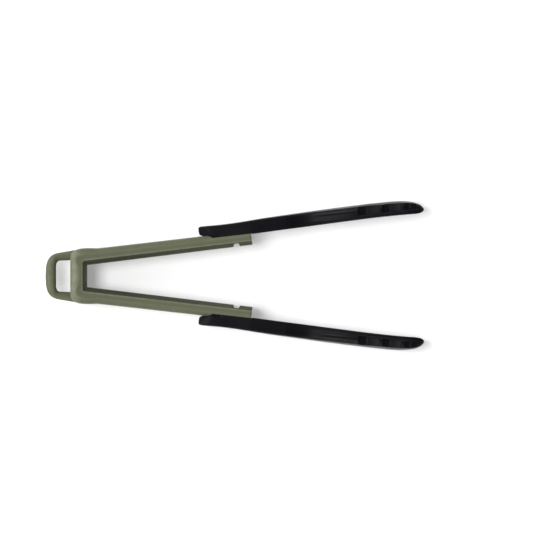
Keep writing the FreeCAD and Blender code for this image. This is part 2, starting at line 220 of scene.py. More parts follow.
def mouldedPlastic(name, look):
    # two mottled tones, paler where the wear-and-highlight attribute says so (part wear, part painted
    # highlight), spark-eroded grain in the bump, and a roughness that drifts over the surface
    material, tree, shader, coords = newMaterial(name)
    cloud = noise(tree, coords, look["cloudScale"], 4.0)
    tone = mixColours(tree, spread(tree, cloud, 0, 1), look["dark"], look["light"])
    wornAndLit = tree.nodes.new("ShaderNodeAttribute")
    wornAndLit.attribute_name = "wearAndHighlight"
    pale = noise(tree, coords, look["paleScale"], 5.0, 0.6)
    rubbedAndHighlight = tree.nodes.new("ShaderNodeMath")
    rubbedAndHighlight.operation = "MULTIPLY"
    tree.links.new(wornAndLit.outputs["Fac"], rubbedAndHighlight.inputs[0])
    tree.links.new(spread(tree, pale, moulding["leastPale"] * look["wearAndHighlight"], look["wearAndHighlight"]), rubbedAndHighlight.inputs[1])
    colour = mixColours(tree, rubbedAndHighlight.outputs["Value"], tone, look["rubbedAndHighlight"])
    tree.links.new(colour, shader.inputs["Base Color"])
    drift = noise(tree, coords, look["driftScale"], 3.0)
    tree.links.new(spread(tree, drift, look["gloss"][0], look["gloss"][1]), shader.inputs["Roughness"])
    grain = noise(tree, coords, look["grainScale"], 2.0, 0.6)
    skin = bump(tree, grain, look["grain"], moulding["grainRise"])
    wave = noise(tree, coords, moulding["waveScale"], 1.0)
    tree.links.new(bump(tree, wave, look["wave"], moulding["waveRise"], skin), shader.inputs["Normal"])
    shader.inputs["IOR"].default_value = look["ior"]
    shader.inputs["Sheen Weight"].default_value = look["sheen"]
    shader.inputs["Sheen Roughness"].default_value = moulding["sheenRough"]
    return material


def drawnSteel(name, look):
    # fine lines drawn along one axis in the colour, roughness and bump, and a faint cloudy stain
    material, tree, shader, coords = newMaterial(name)
    lines = noise(tree, coords, look["lineScale"], 3.0, 0.6, look["stretch"])
    stain = noise(tree, coords, drawing["stainScale"], 3.0)
    tone = mixColours(tree, spread(tree, lines, 0, 1), look["dark"], look["light"])
    colour = mixColours(tree, spread(tree, stain, 0, drawing["stainShare"]), tone, look["stain"])
    tree.links.new(colour, shader.inputs["Base Color"])
    tree.links.new(spread(tree, lines, look["gloss"][0], look["gloss"][1]), shader.inputs["Roughness"])
    tree.links.new(bump(tree, lines, drawing["lineBump"], drawing["lineRise"]), shader.inputs["Normal"])
    shader.inputs["Metallic"].default_value = 1.0
    return material


# the rubbed colour in each finish is the pale one the wear-and-highlight attribute lays on: part wear,
# part painted highlight
softTouch = {
    "dark": (0.057, 0.064, 0.031), "light": (0.067, 0.075, 0.037), "rubbedAndHighlight": (0.185, 0.196, 0.135),
    "wearAndHighlight": 0.60, "cloudScale": 38.0, "paleScale": 260.0, "driftScale": 90.0, "gloss": (0.46, 0.60),
    "grainScale": 3200.0, "grain": 0.22, "wave": 0.05, "ior": 1.38, "sheen": 0.05,
}
# the lining's olive is darker than the grip's: part its own colour, part painted shade of the inside of
# the V
oliveLiningWithPaintedShade = {
    "dark": (0.025, 0.028, 0.012), "light": (0.031, 0.035, 0.016), "rubbedAndHighlight": (0.090, 0.098, 0.060),
    "wearAndHighlight": 0.80, "cloudScale": 50.0, "paleScale": 300.0, "driftScale": 120.0, "gloss": (0.50, 0.64),
    "grainScale": 3600.0, "grain": 0.20, "wave": 0.04, "ior": 1.46, "sheen": 0.05,
}
blackNylon = {
    "dark": (0.0034, 0.0032, 0.0044), "light": (0.0044, 0.0042, 0.0056), "rubbedAndHighlight": (0.024, 0.024, 0.027),
    "wearAndHighlight": 0.90, "cloudScale": 60.0, "paleScale": 150.0, "driftScale": 70.0, "gloss": (0.26, 0.38),
    "grainScale": 2600.0, "grain": 0.16, "wave": 0.06, "ior": 1.13, "sheen": 0.0,
}
coreNylon = {
    "dark": (0.020, 0.021, 0.021), "light": (0.032, 0.034, 0.032), "rubbedAndHighlight": (0.06, 0.06, 0.06),
    "wearAndHighlight": 0.2, "cloudScale": 80.0, "paleScale": 300.0, "driftScale": 90.0, "gloss": (0.48, 0.66),
    "grainScale": 1800.0, "grain": 0.25, "wave": 0.08, "ior": 1.5, "sheen": 0.0,
}
bushNylon = {
    "dark": (0.60, 0.58, 0.50), "light": (0.72, 0.70, 0.62), "rubbedAndHighlight": (0.5, 0.48, 0.42),
    "wearAndHighlight": 0.2, "cloudScale": 200.0, "paleScale": 500.0, "driftScale": 200.0, "gloss": (0.38, 0.52),
    "grainScale": 2500.0, "grain": 0.12, "wave": 0.05, "ior": 1.53, "sheen": 0.0,
}
brightSteel = {
    "dark": (0.50, 0.50, 0.49), "light": (0.66, 0.66, 0.64), "stain": (0.40, 0.39, 0.37),
    "lineScale": 900.0, "stretch": (1, 1, 0.06), "gloss": (0.20, 0.38),
}
springWire = {
    "dark": (0.34, 0.33, 0.31), "light": (0.50, 0.49, 0.47), "stain": (0.24, 0.22, 0.20),
    "lineScale": 1400.0, "stretch": (0.1, 0.1, 1), "gloss": (0.26, 0.42),
}
softGreen = mouldedPlastic("softGreen", softTouch)
oliveLinerWithPaintedShade = mouldedPlastic("oliveLinerWithPaintedShade", oliveLiningWithPaintedShade)
blackJaw = mouldedPlastic("blackJaw", blackNylon)
darkCore = mouldedPlastic("darkCore", coreNylon)
paleBush = mouldedPlastic("paleBush", bushNylon)
pinSteel = drawnSteel("pinSteel", brightSteel)
wireSteel = drawnSteel("wireSteel", springWire)

for nodeName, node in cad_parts.items():
    finish = None
    if "pin" in nodeName or "screws" in nodeName:
        finish = pinSteel
    elif "core" in nodeName:
        finish = darkCore
    elif "bush" in nodeName:
        finish = paleBush
    elif "spring" in nodeName:
        finish = wireSteel
    if finish is not None:
        node.data.materials.clear()
        node.data.materials.append(finish)
print("finishes made")


def dress(piece, material):
    piece.data.materials.append(material)
    return piece


# soft green grip: a tail block and two arms
grip = {
    "frontStation": 148.1,     # the arm's front end
    "split": 23.2,             # where the tail's part meets the arm's
    "wall": 2.2,
    "backEdge": 6.7,           # rounding of the block's back edge
    "armEdge": 3.8,            # rounding of the arm's outer edges
    # how the back edge's rounding gives way to the arm's: station and share
    "edgeShare": [(0, 1), (8, 1), (12.5, 0.4), (16.5, 0.2), (21, 0), (24, 0)],
    "lip": 0.50,               # small round at the crease
    "crown": 0.22,             # how far the outer side bulges
    "creaseReach": 1.9,
    "outerReach": 1.7,
    "endRound": 1.1,
    "endCorner": 3.4,          # plan rounding of the front end's outer corner
    "endSolid": 2.0,           # the end is solid over this length
    # the painted highlight along the block's back rounded edge: stations where it fades out, and how far
    # in from the outer side it starts and is full
    "paintedBackHighlight": (16, 21), "paintedBackHighlightEdge": (6.5, 4.0),
}
# station, X and Y of the crease and of the outer side, from the middle plane to the front end
creaseKeys = [
    (0, 28.8, 0), (13.6, 28.8, 8.5), (17.4, 28.8, 11.5), armKey(18.2, -2.45), armKey(148.1, -2.45),
]
outerKeys = [
    (0, 19.2, 0), (12.6, 19.2, 15.2), (14.3, 19.9, 17.1), (15.9, 21.4, 19.1), (17.9, 24.6, 20.65),
    (20.4, 29.2, 21.25), (23.2, 34.0, 21.25), armKey(29.3, 5.8), armKey(148.1, 5.33),
]


def gripSection(width, edge, look):
    # a U open towards the crease: flat top and bottom, round outer edges, a slightly crowned side
    # and an inner wall one skin thickness inside; d runs outwards from the crease and z is up
    w = width[:, None]
    r = edge[:, None]
    lip, wall = look["lip"], look["wall"]
    one = np.ones_like(w)
    flat = np.linspace(0, 1, 5)[None, 1:-1]
    arc = quarter(9)[None, :]
    level = np.linspace(-1, 1, 9)[None, 1:-1]
    rise = middle - r
    # the third number in each part is how pale it is painted: a painted highlight on the crease's small
    # round, and part wear, part painted highlight on the outer rounds
    parts = [
        (0 * one, lip * one, 0), (0.3 * lip * one, 0.3 * lip * one, 1), (lip * one, 0 * one, 1),
        (lip + (w - r - lip) * flat, 0 * flat * one, 0),
        (w - r + r * np.sin(arc), r - r * np.cos(arc), 0.3),
        (w + look["crown"] * (1 - level**2), middle + rise * level, 0),
        (w - r + r * np.cos(arc), depth - r + r * np.sin(arc), 0.3),
        (lip + (w - r - lip) * flat[:, ::-1], depth + 0 * flat * one, 0),
        (lip * one, depth * one, 1), (0.3 * lip * one, depth - 0.3 * lip * one, 1),
        (0 * one, depth - lip * one, 0), (0 * one, (depth - wall) * one, 0),
        (w - wall, (depth - wall) * one, 0), (w - wall, wall * one, 0), (0 * one, wall * one, 0),
    ]
    d = np.hstack([part[0] * one for part in parts])
    z = np.hstack([part[1] * one for part in parts])
    wearAndHighlight = np.concatenate([np.full(part[0].shape[1], float(part[2])) for part in parts])
    return d, z, wearAndHighlight


def gripPlaces(p, look):
    # the section is carried between two rails: the crease at d = 0 and the outer side at d = width
    crease = rail(p, creaseKeys, look["creaseReach"])
    outer = rail(p, outerKeys, look["outerReach"])
    across = outer - crease
    width = np.linalg.norm(across, axis=1)
    share = np.interp(np.abs(p), *np.array(look["edgeShare"]).T)
    edge = look["armEdge"] + (look["backEdge"] - look["armEdge"]) * share
    d, z, wearAndHighlight = gripSection(width, edge, look)
    return crease, across / width[:, None], d, z, wearAndHighlight


def planToPlace(start, along, d, z):
    # d is measured in plan from each start point along its direction, and z is the height
    xy = start[:, None, :] + along[:, None, :] * d[:, :, None]
    return np.concatenate([xy, z[:, :, None]], -1)


def makeTailGrip(look):
    # the section goes round the block from one arm's split to the other's
    fan = np.linspace(9, look["split"], 58)
    p = np.concatenate([-fan[::-1], np.linspace(-9, 9, 13)[1:-1], fan])
    start, along, d, z, wearAndHighlight = gripPlaces(p, look)
    # painted highlight: the back of the block is painted paler all along its rounded edge, where the
    # light falls
    fades = (1 - ramp(np.abs(p), *look["paintedBackHighlight"]))[:, None]
    wide = d.max(1, keepdims=True)
    paintedBackHighlight = fades * ramp(d, wide - look["paintedBackHighlightEdge"][0], wide - look["paintedBackHighlightEdge"][1])
    return gridMesh("tailGrip", planToPlace(start, along, d, z), np.maximum(wearAndHighlight, paintedBackHighlight))


def makeArmGrip(name, side, look):
    # the last stations draw in by a quarter circle, which rounds the end, and are solid across
    end = look["frontStation"]
    r = look["endRound"]
    wallStart = end - look["endSolid"]
    turn = r * (1 - np.sin(quarter(7)))
    p = np.concatenate([
        np.linspace(look["split"], 34, 34), np.linspace(34, end - 4, 60)[1:],
        np.linspace(end - 3.7, wallStart - 0.3, 5), [wallStart], end - turn,
    ])
    start, along, d, z, wearAndHighlight = gripPlaces(p, look)
    corner = look["endCorner"]
    past = np.clip(p - (end - corner), 0, corner)[:, None]
    d = np.minimum(d, d.max(1, keepdims=True) - corner + np.sqrt(corner**2 - past**2))
    solid = np.arange(len(p)) > len(p) - len(turn) - 2
    inner = np.arange(d.shape[1]) >= d.shape[1] - 4
    d = np.where(solid[:, None] & inner[None, :], 0.0, d)
    inset = np.zeros(len(p))
    inset[-len(turn):] = r * (1 - np.cos(quarter(7)))
    d = np.minimum(d, d.max(1, keepdims=True) - inset[:, None])
    half = middle - inset[:, None]
    z = middle + np.clip(z - middle, -half, half)
    return gridMesh(name, planToPlace(start, along, d, z), wearAndHighlight, side)


tailGrip = dress(makeTailGrip(grip), softGreen)
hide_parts("tail_skin")
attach(tailGrip, "tail")
arms = {"left": 1, "right": -1}


def bendOver(piece):
    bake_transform(piece)


for sideName, side in arms.items():
    piece = dress(makeArmGrip(sideName + "Grip", side, grip), softGreen)
    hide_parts(sideName + "_arm_skin")
    bendOver(piece)
print("grip made")


# lining round the inside of the V, in an olive darker than the grip: part its own colour, part painted
# shade
lining = {
    "top": 0.55,              # how far its outer edge lies below the grip's top
    "drop": 3.3,              # how much lower its inner edge is
    "dip": 1.25,              # power that bows the slope between them
    "edge": 0.35,             # round at the inner edge
    "edgeHeight": 1.6,        # how much higher than wide that round is
    "back": 0.6,              # how far the back plane lies behind the crease
    "backHalf": 12.85,
    "deepReach": 0.9,
    "paintedShadeFade": 0.55,            # painted shade: how much paler it is painted towards the front, so it is darker near the V's corner
    "paintedShadeFadeFrom": (20, 150),   # stations where that starts and is full
    "notch": (133.1, 138.1),  # stations of the cross notch
    "notchSlope": 0.8,
    "notchFloor": 0.45,       # what the notch leaves of the lining
    "endRound": 0.5,
}
# station, X and Y of its inner edge
deepKeys = [
    (0, 31.8, 0), (17.2, 31.8, 8.35), armKey(20.4, -5.8), armKey(30, -5.8), armKey(148.1, -5.28),
]


def liningSection(width, look):
    # d runs from the crease into the V: a steep slope from the crease down to a rounded edge,
    # the upright face, the same below, and a back plane
    w = width[:, None]
    one = np.ones_like(w)
    slope = np.linspace(0, 1, 6)[None, :]
    arc = quarter(5)[None, :]
    level = np.linspace(1, -1, 11)[None, 1:-1]
    high = middle - look["top"]
    low = high - look["drop"]
    r, tall, dip = look["edge"], look["edgeHeight"], look["dip"]
    top = (w - r) * slope
    # the inner edge's rounds are painted pale, a painted highlight line along the edge
    parts = [
        (top, high - look["drop"] * slope**dip * one, 0),
        (w - r + r * np.sin(arc), low - r * (1 - np.cos(arc)) * tall * one, 0.9),
        (w * np.ones_like(level), (low - tall * r) * level * one, 0),
        (w - r + r * np.cos(arc), -low + r * (1 - np.sin(arc)) * tall * one, 0.9),
        (top[:, ::-1], -high + look["drop"] * slope[:, ::-1] ** dip * one, 0),
        (0 * one, -look["backHalf"] * one, 0), (-look["back"] * one, -look["backHalf"] * one, 0),
        (-look["back"] * one, look["backHalf"] * one, 0), (0 * one, look["backHalf"] * one, 0),
    ]
    d = np.hstack([part[0] * one for part in parts])
    z = middle + np.hstack([part[1] * one for part in parts])
    wearAndHighlight = np.concatenate([np.full(part[0].shape[1], float(part[2])) for part in parts])
    return d, z, wearAndHighlight


def liningPlaces(p, look):
    # the section is carried between the crease at d = 0 and the inner edge at d = width
    crease = rail(p, creaseKeys, grip["creaseReach"])
    deep = rail(p, deepKeys, look["deepReach"])
    across = deep - crease
    width = np.linalg.norm(across, axis=1)
    d, z, wearAndHighlight = liningSection(width, look)
    return crease, across / width[:, None], d, z, wearAndHighlight


def makeTailLining(look):
    # the section goes round the inside of the block, as the grip's does
    corner = np.linspace(11, grip["split"], 44)
    p = np.concatenate([-corner[::-1], np.linspace(-11, 11, 9)[1:-1], corner])
    start, along, d, z, wearAndHighlight = liningPlaces(p, look)
    return gridMesh("tailLining", planToPlace(start, along, d, z), wearAndHighlight, sharp=24)


def makeArmLining(name, side, look):
    # the notch holds d down to its floor between its two sloping ends
    end = grip["frontStation"]
    r = look["endRound"]
    low, high = look["notch"]
    slope = look["notchSlope"]
    turn = r * (1 - np.sin(quarter(5)))
    p = np.concatenate([
        np.linspace(grip["split"], 36, 40), np.linspace(36, low - 0.3, 50)[1:],
        [low, low + 0.5 * slope, low + slope, 0.5 * (low + high)],
        [high - slope, high - 0.5 * slope, high, high + 0.3],
        np.linspace(high + 0.6, end - r - 0.1, 8), end - turn,
    ])
    start, along, d, z, wearAndHighlight = liningPlaces(p, look)
    wide = d.max(1)
    opened = np.clip(np.minimum(p - low, high - p) / slope, 0, 1)
    limit = wide + (look["notchFloor"] - wide) * opened
    inset = np.zeros(len(p))
    inset[-len(turn):] = r * (1 - np.cos(quarter(5)))
    d = np.minimum(d, (limit - inset)[:, None])
    # painted shade: the lining is painted paler towards the front, so it is darker near the V's corner
    wearAndHighlight = np.maximum(wearAndHighlight, look["paintedShadeFade"] * ramp(p, *look["paintedShadeFadeFrom"])[:, None])
    return gridMesh(name, planToPlace(start, along, d, z), wearAndHighlight, side, sharp=24)


tailLining = dress(makeTailLining(lining), oliveLinerWithPaintedShade)
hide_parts("tail_liner")
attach(tailLining, "tail")
for sideName, side in arms.items():
    piece = dress(makeArmLining(sideName + "Lining", side, lining), oliveLinerWithPaintedShade)
    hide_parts(sideName + "_arm_liner")
    bendOver(piece)
print("lining made")


loop = {
    "half": 7.5,           # half its depth
    "outerRound": 2.2,
    "innerRound": (3.6, 4.8),   # at the tail bar and at the sides
    "barEnd": (9, 15),     # stations where the bar gives way to the sides
    "barWearAndHighlight": 0.55,       # how much paler the bar is painted: part wear, part painted highlight where light falls on it
    "squash": 0.8,         # height of the inner round against its width
    "swell": 11,           # slope of the top where it meets the rounds, in degrees
    "holeReach": 2.1,
    "rimReach": 2.4,
    "rootStation": 36.5,   # where its sides end inside the block
}
# station, X and Y of the hole's rim and of the outer side
holeKeys = [(0, 8.05, 0), (10.0, 8.05, 9.6), (12.6, 9.6, 11.8), (36.5, 26.4, 12.4)]
rimKeys = [(0, 0.02, 0), (7.0, 0.45, 8.4), (11.2, 2.6, 14.65), (14.4, 7.2, 17.35), (36.5, 26.4, 20.6)]


def makeLoop(look):
    # the section is carried between the hole's rim and the outer side: a flat-topped oval,
    # rounder towards the hole
    p = np.unique(np.concatenate([np.linspace(0, 20, 50), np.linspace(20, look["rootStation"], 16)]))
    p = np.concatenate([-p[:0:-1], p])
    hole = rail(p, holeKeys, look["holeReach"])
    rim = rail(p, rimKeys, look["rimReach"])
    across = rim - hole
    width = np.linalg.norm(across, axis=1)
    w = width[:, None]
    b, h = look["outerRound"], look["half"]
    beside = ramp(np.abs(p), *look["barEnd"])[:, None]
    a = look["innerRound"][0] + (look["innerRound"][1] - look["innerRound"][0]) * beside
    tilt = math.radians(look["swell"])
    turn = np.linspace(math.pi / 2, tilt, 9)[None, :]
    one = np.ones_like(w)
    level = np.linspace(0, 1, 4)[None, :-1]
    flat = np.linspace(0, 1, 7)[None, 1:-1]
    # upper half of the oval from the hole's side to the outer side: an arc, a parabola that
    # leaves both arcs at their own slope, and the outer arc
    flatWidth = w - a - b + (a + b) * math.sin(tilt)
    shoulder = h - flatWidth * math.tan(tilt) / 4
    innerArc = (a - a * np.sin(turn), shoulder - a * look["squash"] * (math.cos(tilt) - np.cos(turn)))
    back = turn[:, ::-1]
    outerArc = (w - b + b * np.sin(back), shoulder - b * (math.cos(tilt) - np.cos(back)))
    swell = flatWidth * math.tan(tilt) * flat * (1 - flat)
    crownTop = (a * (1 - math.sin(tilt)) + flatWidth * flat, shoulder + swell)
    # the outer arc is painted paler and the inner arc a little: part wear, part painted highlight
    upper = [
        (0 * level * one, innerArc[1][:, :1] * level, 0), (*innerArc, 0.1), (*crownTop, 0),
        (*outerArc, 0.35), (w * np.ones_like(level), outerArc[1][:, -1:] * level[:, ::-1], 0),
    ]
    d = np.hstack([part[0] * one for part in upper])
    z = np.hstack([part[1] * one for part in upper])
    wearAndHighlight = np.concatenate([np.full(part[0].shape[1], float(part[2])) for part in upper])
    d = np.hstack([d, d[:, -2:0:-1]])
    z = middle + np.hstack([z, -z[:, -2:0:-1]])
    wearAndHighlight = np.concatenate([wearAndHighlight, wearAndHighlight[-2:0:-1]])
    # painted highlight and wear: the bar is painted less pale along its edges than the sides are, and
    # paler between them
    rubbedAndHighlight = look["barWearAndHighlight"] * (1 - beside) * ramp(d, 0, 3) * ramp(w - d, 0, 4)
    wearAndHighlight = np.maximum(wearAndHighlight * (0.3 + 0.7 * beside), rubbedAndHighlight)
    return gridMesh("hangLoop", planToPlace(hole, across / width[:, None], d, z), wearAndHighlight)


hangLoop = dress(makeLoop(loop), softGreen)
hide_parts("hanging_loop")
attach(hangLoop, "tail")
print("loop made")


# black nylon jaws, in stations along the arm and t outwards from its middle
jaw = {
    "back": 82.0, "tip": 255.45, "handleEnd": 122.2,
    "backCorner": 2.8,        # plan rounding where the back end meets the handle
    # t of the outer side, and of the inner side where the jaw is free of the handle
    "outer": [
        (82.0, 12.1), (82.5, 12.75), (83.5, 13.12), (86.5, 13.2), (94, 12.96), (103, 12.86),
        (112, 13.05), (120, 13.4), (128.3, 13.8), (159.3, 14.65), (196.4, 15.25), (221, 15.2),
        (233.3, 14.85), (240, 14.25), (245.5, 13.2), (249.2, 12.0), (251.8, 10.7), (253.7, 9.1),
        (254.8, 7.65), (255.3, 6.7), (255.45, 6.1),
    ],
    "inner": [
        (122.2, 2.95), (127, 2.95), (139, 3.15), (158, 3.4), (176, 3.65), (195, 3.9), (207, 4.05),
        (220, 4.1), (232, 3.95), (244, 3.6), (250.2, 3.4), (252.6, 3.7), (254.2, 4.4), (255.1, 5.3),
        (255.45, 6.1),
    ],
    # t of the handle's outer side at its start and how much it draws in per mm, and the gap to it
    "handleOuter": 5.8, "handleTaper": 0.0038, "handleGap": 0.12,
    # half the depth: the bevelled back end, the neck with its small step, and the waist
    "rear": [(82.0, 6.9), (82.3, 8.3), (83.2, 9.5), (91.8, 14.7), (97, 14.7)],
    "rearLean": 0.45,         # the bevel leans, and ends further back on the outer side
    "neck": [(121.6, 14.7), (149.6, 13.25), (150.4, 12.9), (151.4, 12.85)],
    "waist": [
        (151.4, 12.85), (158, 11.2), (166, 10.6), (175, 11.35), (186, 13.2), (196, 14.55), (202, 14.95),
        (206, 15.0),
    ],
    "tipStart": 240.0, "tipHalf": 6.9, "tipPower": 2.1,
    "outerEdge": [
        (82.0, 1.0), (130, 1.1), (160, 1.5), (185, 2.6), (205, 3.1), (242, 3.0), (250, 2.4), (254, 1.6),
        (255.45, 1.0),
    ],
    "innerEdge": 0.55,
    "crown": [(82.0, 0.25), (140, 0.5), (200, 1.1), (245, 1.0), (255.45, 0.2)],
    # each valley steps down, slopes on to a small rib and climbs gently to its end wall:
    # start, rib, end, depth
    "valleys": [(204.6, 211.2, 221.6, 2.3), (223.2, 229.0, 238.4, 2.3), (240.0, 244.6, 250.4, 1.9)],
    "valleyStep": 0.6,        # share of the depth in the first steep step
    "valleyClimb": 0.3,       # share of the depth the floor climbs before the end wall
    "rib": 0.15,              # share of the depth the small rib stands up
    "valleyLip": 7.2,         # the valleys lie outside this t
    "trough": 0.55,           # shallow hollow along the side of the head
    "innerFall": 0.55,        # how much lower the head's inner edge is than the ridge beside it
    "ridge": 6.8,
    "grooves": (215.45, 6.0, 6),      # first one, pitch and number
    "grooveHalf": 1.32, "grooveDepth": 0.7, "grooveEnd": (9.85, 10.15),
    # painted highlights along the sides, where light falls on their slopes: strength, t of the line and
    # its width
    "flareHighlight": (0.30, 7.4, 1.35), "headHighlight": (0.42, 6.7, 0.7), "rimHighlight": (0.25, 12.2, 1.0),
    # painted highlight on the bevel at the back
    "bevelHighlight": 0.30,
}


def jawStations(look):
    # closer where the form turns: back end, handle's front, step, valleys, grooves and tip
    back, tip = look["back"], look["tip"]
    first, pitch, many = look["grooves"]
    near = [back + 12 * np.linspace(0, 1, 26)**1.6, np.linspace(94, 204, 70), np.linspace(204, 250, 100)]
    near.append(look["handleEnd"] + np.array([-0.01, 0.0, 0.5]))
    near.append(np.linspace(83.2, 91.8, 22))
    near.append(np.linspace(148.6, 152, 13))
    for valley in look["valleys"]:
        near.append(valley[0] + np.linspace(-0.3, 1.5, 10))
        near.append(valley[1] + np.linspace(-0.3, 1.1, 8))
        near.append(valley[2] + np.linspace(-1.1, 0.2, 8))
    for n in range(many):
        near.append(first + n * pitch + look["grooveHalf"] * np.linspace(-1, 1, 9))
    near.append(tip - 5.4 * (1 - np.sin(quarter(26))))
    s = np.unique(np.round(np.concatenate(near), 3))
    return s[np.concatenate([[True], np.diff(s) > 0.008])]


def jawHalfDepth(s, look):
    # a bevel at the back end, straight to the small step, a waist, and about a quarter ellipse at the tip
    rear = np.interp(s, *np.array(look["rear"]).T)
    neck = np.interp(s, *np.array(look["neck"]).T)
    waist = curveThrough(s, look["waist"])
    x = np.clip((s - look["tipStart"]) / (look["tip"] - look["tipStart"]), 0, 1)
    end = look["tipHalf"] + (middle - look["tipHalf"]) * np.sqrt(1 - x ** look["tipPower"])
    half = np.where(s < look["neck"][0][0], rear, np.where(s < look["waist"][0][0], neck, waist))
    return np.where(s > look["tipStart"], end, half)


def valleySink(s, look):
    # how far the valleys lower the sides at each station, 0 between them
    sink = np.zeros_like(s)
    for start, rib, end, deep in look["valleys"]:
        fall = look["valleyStep"] * ramp(s, start, start + 1.2)
        fall = fall + (1 - look["valleyStep"]) * np.clip((s - start) / (rib - start), 0, 1)
        along = np.clip((s - rib) / (end - rib), 0, 1)
        climb = (1 - look["valleyClimb"] * along**2) * (1 - ramp(s, end - 1, end))
        sink = np.maximum(sink, deep * fall * climb * (1 - look["rib"] * ramp(s, rib, rib + 0.8)))
    return sink


def jawWearAndHighlight(s, t, base, sink, look):
    # the section's own paleness (part wear, part painted edge highlight), less of it behind the head,
    # then bell-shaped painted highlights along the sides (most where the head flares) and on the bevel at
    # the back, and none on the valleys' floors, which stay dark as painted shade
    def line(pale, where):
        strength, place, width = pale
        return strength * where * np.exp(-((t - place) / width) ** 2)

    flare = (ramp(s, 167, 177) * (1 - ramp(s, 198, 206)))[:, None]
    head = ramp(s, 200, 208)[:, None]
    lines = line(look["flareHighlight"], flare) + line(look["headHighlight"], head)
    lines = lines + line(look["rimHighlight"], np.maximum(flare, head))
    edgePaleShare = 0.35 + 0.65 * ramp(s, 160, 200) - 0.5 * ramp(s, 204, 216)
    wearAndHighlight = np.maximum(base[None, :] * edgePaleShare[:, None], lines)
    wearAndHighlight = np.maximum(wearAndHighlight, look["bevelHighlight"] * (1 - ramp(s, 89, 92.5))[:, None])
    return wearAndHighlight * (1 - 0.95 * np.clip(sink / 1.1, 0, 1)[:, None] * ramp(t, 6.9, 7.6))


def makeJaw(name, side, look):
    # section at each station: the inner side as t over z, the top and bottom sides as z over t,
    # and the outer side as a crowned t over z, joined by quarter rounds
    s = jawStations(look)
    half = jawHalfDepth(s, look)[:, None]
    outer = curveThrough(s, look["outer"])[:, None]
    free = curveThrough(np.maximum(s, look["handleEnd"]), look["inner"])[:, None]
    held = s[:, None] < look["handleEnd"]
    crown = curveThrough(s, look["crown"])[:, None]
    thick = outer - free
    r = np.minimum(curveThrough(s, look["outerEdge"])[:, None], 0.42 * thick)
    q = np.minimum(look["innerEdge"], 0.3 * thick) * np.ones_like(half)
    edge = outer - crown
    first, pitch, many = look["grooves"]

    # inner side, from the top edge down: free of the handle it is plain with grooves,
    # and on the handle it follows the handle's rounded outer edge
    steps = np.array([0.99, 0.93, 0.82, 0.72, 0.71, 0.69, 0.5, 0.2])
    steps = np.concatenate([steps, -steps[::-1]])[None, :]
    corner = quarter(6)[None, :]
    drop = look["innerFall"] * (ramp(s, 162, 176) * (1 - ramp(s, 249, 253)))[:, None]
    high = half - drop
    zIn = np.hstack([high - q + q * np.cos(corner), (high - q) * steps, -(high - q + q * np.sin(corner))])
    tIn = np.hstack([free + q - q * np.sin(corner), free + 0 * steps, free + q - q * np.cos(corner)])
    for n in range(many):
        away = (s - first - n * pitch) / look["grooveHalf"]
        cut = look["grooveDepth"] * np.sqrt(np.clip(1 - away**2, 0, 1))
        tIn = tIn + cut[:, None] * (1 - ramp(np.abs(zIn), *look["grooveEnd"]))
    gripEdge = grip["armEdge"] + 0.06
    handleOuter = look["handleOuter"] - look["handleTaper"] * (s[:, None] + 2)
    over = np.clip(np.abs(zIn) - (middle - grip["armEdge"]), 0, gripEdge - 0.01)
    onHandle = handleOuter - grip["armEdge"] + np.sqrt(gripEdge**2 - over**2) + look["handleGap"]
    # at the very back the inner side turns away from the handle in a round corner
    back = np.clip(1 - (s[:, None] - look["back"]) / look["backCorner"], 0, 1)
    turned = 5.9 + look["backCorner"] * (1 - np.sqrt(1 - back**2))
    onHandle = np.where(back > 0, np.maximum(onHandle, turned), onHandle)
    tIn = np.where(held, np.minimum(onHandle, edge - 0.6), tIn)

    # top side, from the inner edge to the outer round; the hollow runs along the head's middle
    share = np.array([0.06, 0.14, 0.22, 0.3, 0.355, 0.385, 0.43, 0.52, 0.62, 0.74, 0.86, 0.95])[None, :]
    a = tIn[:, :1]
    b = edge - r
    tTop = a + (b - a) * share
    hollow = look["trough"] * ramp(s, 166, 184) * (1 - ramp(s, 248, 253))
    zTop = half - hollow[:, None] * np.sin(math.pi * np.clip((share - 0.27) / 0.73, 0, 1)) ** 2
    zTop = zTop - drop * np.clip((look["ridge"] - tTop) / (look["ridge"] - a), 0, 1)
    # the bevel at the back leans about t = 6, and ends at the level of the neck
    level = look["rear"][-1][1]
    lean = look["rearLean"] * (s < look["handleEnd"] - 25)[:, None]
    zTop = np.where(lean > 0, np.clip(half + lean * (tTop - 6), None, level), zTop)
    shoulder = np.where(lean > 0, np.clip(half + lean * (b - 6), None, level), half)
    bow = quarter(10)[None, :]
    tRound = b + r * np.sin(bow)
    zRound = shoulder - r + r * np.cos(bow)
    face = np.linspace(1, -1, 13)[None, 1:-1]
    zFace = (shoulder - r) * face
    tFace = edge + crown * (1 - face**2)
    # the valleys hold the top and bottom down to their floor, outside the inner lip
    sink = valleySink(s, look)
    floor = shoulder - sink[:, None]
    zTop = np.where(tTop > look["valleyLip"], np.minimum(zTop, floor), zTop)
    zRound = np.minimum(zRound, floor)
    zFace = np.clip(zFace, -floor, floor)

    t = np.hstack([tIn[:, ::-1], tTop, tRound, tFace, tRound[:, ::-1], tTop[:, ::-1]])
    z = np.hstack([zIn[:, ::-1], zTop, zRound, zFace, -zRound[:, ::-1], -zTop[:, ::-1]])
    inside, top, bend, front = (part.shape[1] for part in (tIn, tTop, tRound, tFace))
    # how pale each part of the section is painted: part wear, part painted highlight on the rounds and
    # the inner corners
    base = np.repeat([0.0, 0.1, 0.8, 0.15, 0.8, 0.1], [inside, top, bend, front, bend, top])
    base[:3] = base[inside - 3:inside] = 0.8
    wearAndHighlight = jawWearAndHighlight(s, t, base, sink, look)
    x, y = onArm(s[:, None] + 0 * t, t)
    return gridMesh(name, np.stack([x, y, middle + z], -1), wearAndHighlight, side, sharp=26)


